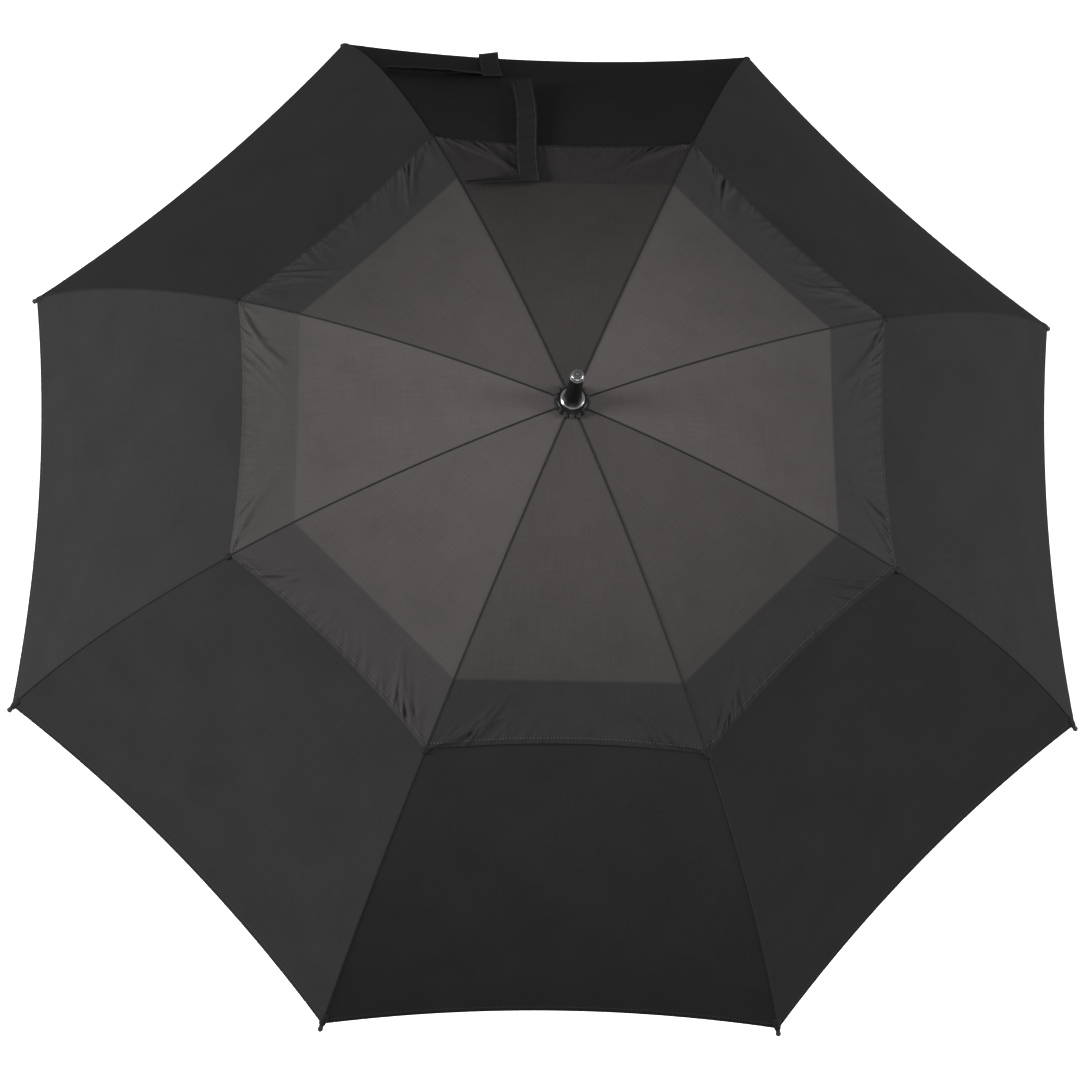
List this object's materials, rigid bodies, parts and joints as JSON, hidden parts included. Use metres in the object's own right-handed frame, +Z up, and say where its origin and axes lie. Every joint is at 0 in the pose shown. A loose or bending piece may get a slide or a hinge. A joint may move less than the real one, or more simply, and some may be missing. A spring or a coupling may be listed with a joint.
{
  "type": "golf umbrella",
  "caption": "Open vented golf umbrella: straight shaft and grip, curved ribs and stretchers on a sliding runner, and a two-layer canopy.",
  "frame": {"origin": "centre of the underside of the handle's end cap", "axes": "+Z up the shaft to the ferrule; +X along rib 1, ribs 2 to 8 follow counter-clockwise seen from above"},
  "size_m": [1.3246, 1.3246, 1.0143],
  "materials": {
    "canopy_cloth": "fine plain-woven pongee, slightly sheer in one layer",
    "strap_webbing": "doubled canopy cloth with stitched edges",
    "rosette_cloth": "pleated black cloth",
    "glass_fibre": "satin black glass fibre with moulded black ends",
    "shaft": "satin black glass-fibre tube",
    "grip": "matt black foam",
    "steel": "plain bright steel",
    "collar_metal": "bright plated ring",
    "ferrule_gloss": "glossy black moulding",
    "moulded_nylon": "moulded black nylon"
  },
  "bodies": {
    "shaft_frame": {"shaft": "shaft", "grip": "grip", "end_cap": "moulded_nylon", "top_notch": "moulded_nylon", "notch_wire": "steel", "notch_pin": "steel", "stop_pin": "steel", "neck_washer": "rosette_cloth", "rosette": "rosette_cloth", "ferrule_collar": "collar_metal", "ferrule": "ferrule_gloss"},
    "rib_inner_1": {"rib_inner_1": "glass_fibre", "upper_canopy_1": "canopy_cloth"},
    "rib_outer_1": {"rib_outer_1": "glass_fibre", "lower_canopy_1": "canopy_cloth"},
    "stretcher_1": {"stretcher_1": "glass_fibre"},
    "rib_inner_2": {"rib_inner_2": "glass_fibre", "upper_canopy_2": "canopy_cloth"},
    "rib_outer_2": {"rib_outer_2": "glass_fibre", "lower_canopy_2": "canopy_cloth"},
    "stretcher_2": {"stretcher_2": "glass_fibre"},
    "rib_inner_3": {"rib_inner_3": "glass_fibre", "upper_canopy_3": "canopy_cloth"},
    "rib_outer_3": {"rib_outer_3": "glass_fibre", "lower_canopy_3": "canopy_cloth"},
    "stretcher_3": {"stretcher_3": "glass_fibre"},
    "rib_inner_4": {"rib_inner_4": "glass_fibre", "upper_canopy_4": "canopy_cloth", "vent_strap": "strap_webbing", "vent_strap_patch": "strap_webbing"},
    "rib_outer_4": {"rib_outer_4": "glass_fibre", "lower_canopy_4": "canopy_cloth", "tie_strap": "strap_webbing", "tie_strap_patch": "strap_webbing"},
    "stretcher_4": {"stretcher_4": "glass_fibre"},
    "rib_inner_5": {"rib_inner_5": "glass_fibre", "upper_canopy_5": "canopy_cloth"},
    "rib_outer_5": {"rib_outer_5": "glass_fibre", "lower_canopy_5": "canopy_cloth"},
    "stretcher_5": {"stretcher_5": "glass_fibre"},
    "rib_inner_6": {"rib_inner_6": "glass_fibre", "upper_canopy_6": "canopy_cloth"},
    "rib_outer_6": {"rib_outer_6": "glass_fibre", "lower_canopy_6": "canopy_cloth"},
    "stretcher_6": {"stretcher_6": "glass_fibre"},
    "rib_inner_7": {"rib_inner_7": "glass_fibre", "upper_canopy_7": "canopy_cloth"},
    "rib_outer_7": {"rib_outer_7": "glass_fibre", "lower_canopy_7": "canopy_cloth"},
    "stretcher_7": {"stretcher_7": "glass_fibre"},
    "rib_inner_8": {"rib_inner_8": "glass_fibre", "upper_canopy_8": "canopy_cloth"},
    "rib_outer_8": {"rib_outer_8": "glass_fibre", "lower_canopy_8": "canopy_cloth"},
    "stretcher_8": {"stretcher_8": "glass_fibre"},
    "runner": {"runner": "moulded_nylon", "runner_wire": "steel"},
    "top_catch": {"top_catch": "steel"},
    "bottom_catch": {"bottom_catch": "steel"}
  },
  "joints": [
    {"name": "fold", "type": "hinge", "parent": "shaft_frame", "child": "rib_inner_1", "pos_m": [0.0115, 0, 0.93002], "axis": [0, 1, 0], "range_deg": [0, 77.09], "deforming": ["upper_canopy_1", "lower_canopy_1", "upper_canopy_2", "lower_canopy_2", "upper_canopy_3", "lower_canopy_3", "upper_canopy_4", "lower_canopy_4", "upper_canopy_5", "lower_canopy_5", "upper_canopy_6", "lower_canopy_6", "upper_canopy_7", "lower_canopy_7", "upper_canopy_8", "lower_canopy_8", "tie_strap", "tie_strap_patch", "vent_strap", "vent_strap_patch", "top_catch", "bottom_catch"]},
    {"name": "stretcher_1_hinge", "type": "hinge", "parent": "rib_inner_1", "child": "stretcher_1", "pos_m": [0.31117, 0, 0.86574], "axis": [0, 1, 0], "range_deg": [-154.69, 0]},
    {"name": "rib_1_flex", "type": "hinge", "parent": "rib_inner_1", "child": "rib_outer_1", "pos_m": [0.32223, 0, 0.86962], "axis": [0, 1, 0], "range_deg": [-25.5, 0]},
    {"name": "rib_2_hinge", "type": "hinge", "parent": "shaft_frame", "child": "rib_inner_2", "pos_m": [0.00813, 0.00813, 0.93002], "axis": [-0.7071, 0.7071, 0], "range_deg": [0, 77.09]},
    {"name": "stretcher_2_hinge", "type": "hinge", "parent": "rib_inner_2", "child": "stretcher_2", "pos_m": [0.22003, 0.22003, 0.86574], "axis": [-0.7071, 0.7071, 0], "range_deg": [-154.69, 0]},
    {"name": "rib_2_flex", "type": "hinge", "parent": "rib_inner_2", "child": "rib_outer_2", "pos_m": [0.22785, 0.22785, 0.86962], "axis": [-0.7071, 0.7071, 0], "range_deg": [-25.5, 0]},
    {"name": "rib_3_hinge", "type": "hinge", "parent": "shaft_frame", "child": "rib_inner_3", "pos_m": [0, 0.0115, 0.93002], "axis": [-1, 0, 0], "range_deg": [0, 77.09]},
    {"name": "stretcher_3_hinge", "type": "hinge", "parent": "rib_inner_3", "child": "stretcher_3", "pos_m": [0, 0.31117, 0.86574], "axis": [-1, 0, 0], "range_deg": [-154.69, 0]},
    {"name": "rib_3_flex", "type": "hinge", "parent": "rib_inner_3", "child": "rib_outer_3", "pos_m": [0, 0.32223, 0.86962], "axis": [-1, 0, 0], "range_deg": [-25.5, 0]},
    {"name": "rib_4_hinge", "type": "hinge", "parent": "shaft_frame", "child": "rib_inner_4", "pos_m": [-0.00813, 0.00813, 0.93002], "axis": [-0.7071, -0.7071, 0], "range_deg": [0, 77.09]},
    {"name": "stretcher_4_hinge", "type": "hinge", "parent": "rib_inner_4", "child": "stretcher_4", "pos_m": [-0.22003, 0.22003, 0.86574], "axis": [-0.7071, -0.7071, 0], "range_deg": [-154.69, 0]},
    {"name": "rib_4_flex", "type": "hinge", "parent": "rib_inner_4", "child": "rib_outer_4", "pos_m": [-0.22785, 0.22785, 0.86962], "axis": [-0.7071, -0.7071, 0], "range_deg": [-25.5, 0]},
    {"name": "rib_5_hinge", "type": "hinge", "parent": "shaft_frame", "child": "rib_inner_5", "pos_m": [-0.0115, 0, 0.93002], "axis": [0, -1, 0], "range_deg": [0, 77.09]},
    {"name": "stretcher_5_hinge", "type": "hinge", "parent": "rib_inner_5", "child": "stretcher_5", "pos_m": [-0.31117, 0, 0.86574], "axis": [0, -1, 0], "range_deg": [-154.69, 0]},
    {"name": "rib_5_flex", "type": "hinge", "parent": "rib_inner_5", "child": "rib_outer_5", "pos_m": [-0.32223, 0, 0.86962], "axis": [0, -1, 0], "range_deg": [-25.5, 0]},
    {"name": "rib_6_hinge", "type": "hinge", "parent": "shaft_frame", "child": "rib_inner_6", "pos_m": [-0.00813, -0.00813, 0.93002], "axis": [0.7071, -0.7071, 0], "range_deg": [0, 77.09]},
    {"name": "stretcher_6_hinge", "type": "hinge", "parent": "rib_inner_6", "child": "stretcher_6", "pos_m": [-0.22003, -0.22003, 0.86574], "axis": [0.7071, -0.7071, 0], "range_deg": [-154.69, 0]},
    {"name": "rib_6_flex", "type": "hinge", "parent": "rib_inner_6", "child": "rib_outer_6", "pos_m": [-0.22785, -0.22785, 0.86962], "axis": [0.7071, -0.7071, 0], "range_deg": [-25.5, 0]},
    {"name": "rib_7_hinge", "type": "hinge", "parent": "shaft_frame", "child": "rib_inner_7", "pos_m": [0, -0.0115, 0.93002], "axis": [1, 0, 0], "range_deg": [0, 77.09]},
    {"name": "stretcher_7_hinge", "type": "hinge", "parent": "rib_inner_7", "child": "stretcher_7", "pos_m": [0, -0.31117, 0.86574], "axis": [1, 0, 0], "range_deg": [-154.69, 0]},
    {"name": "rib_7_flex", "type": "hinge", "parent": "rib_inner_7", "child": "rib_outer_7", "pos_m": [0, -0.32223, 0.86962], "axis": [1, 0, 0], "range_deg": [-25.5, 0]},
    {"name": "rib_8_hinge", "type": "hinge", "parent": "shaft_frame", "child": "rib_inner_8", "pos_m": [0.00813, -0.00813, 0.93002], "axis": [0.7071, 0.7071, 0], "range_deg": [0, 77.09]},
    {"name": "stretcher_8_hinge", "type": "hinge", "parent": "rib_inner_8", "child": "stretcher_8", "pos_m": [0.22003, -0.22003, 0.86574], "axis": [0.7071, 0.7071, 0], "range_deg": [-154.69, 0]},
    {"name": "rib_8_flex", "type": "hinge", "parent": "rib_inner_8", "child": "rib_outer_8", "pos_m": [0.22785, -0.22785, 0.86962], "axis": [0.7071, 0.7071, 0], "range_deg": [-25.5, 0]},
    {"name": "runner_slide", "type": "hinge", "parent": "stretcher_1", "child": "runner", "pos_m": [0.0115, 0, 0.80147], "axis": [0, 1, 0], "range_deg": [0, 77.59]},
    {"name": "top_catch_press", "type": "slide", "parent": "shaft_frame", "child": "top_catch", "axis": [-1, 0, 0], "range_m": [0, 0.0035], "stiffness_N_per_m": 600, "springref_m": -0.001},
    {"name": "bottom_catch_press", "type": "slide", "parent": "shaft_frame", "child": "bottom_catch", "axis": [-1, 0, 0], "range_m": [0, 0.0035], "stiffness_N_per_m": 600, "springref_m": -0.001}
  ],
  "couplings": [
    {"joint": "stretcher_1_hinge", "follows": "fold", "ratio": -2},
    {"joint": "rib_1_flex", "follows": "fold", "ratio": -0.32363},
    {"joint": "rib_2_hinge", "follows": "fold", "ratio": 1},
    {"joint": "stretcher_2_hinge", "follows": "fold", "ratio": -2},
    {"joint": "rib_2_flex", "follows": "fold", "ratio": -0.32363},
    {"joint": "rib_3_hinge", "follows": "fold", "ratio": 1},
    {"joint": "stretcher_3_hinge", "follows": "fold", "ratio": -2},
    {"joint": "rib_3_flex", "follows": "fold", "ratio": -0.32363},
    {"joint": "rib_4_hinge", "follows": "fold", "ratio": 1},
    {"joint": "stretcher_4_hinge", "follows": "fold", "ratio": -2},
    {"joint": "rib_4_flex", "follows": "fold", "ratio": -0.32363},
    {"joint": "rib_5_hinge", "follows": "fold", "ratio": 1},
    {"joint": "stretcher_5_hinge", "follows": "fold", "ratio": -2},
    {"joint": "rib_5_flex", "follows": "fold", "ratio": -0.32363},
    {"joint": "rib_6_hinge", "follows": "fold", "ratio": 1},
    {"joint": "stretcher_6_hinge", "follows": "fold", "ratio": -2},
    {"joint": "rib_6_flex", "follows": "fold", "ratio": -0.32363},
    {"joint": "rib_7_hinge", "follows": "fold", "ratio": 1},
    {"joint": "stretcher_7_hinge", "follows": "fold", "ratio": -2},
    {"joint": "rib_7_flex", "follows": "fold", "ratio": -0.32363},
    {"joint": "rib_8_hinge", "follows": "fold", "ratio": 1},
    {"joint": "stretcher_8_hinge", "follows": "fold", "ratio": -2},
    {"joint": "rib_8_flex", "follows": "fold", "ratio": -0.32363},
    {"joint": "runner_slide", "follows": "fold", "ratio": 1}
  ]
}
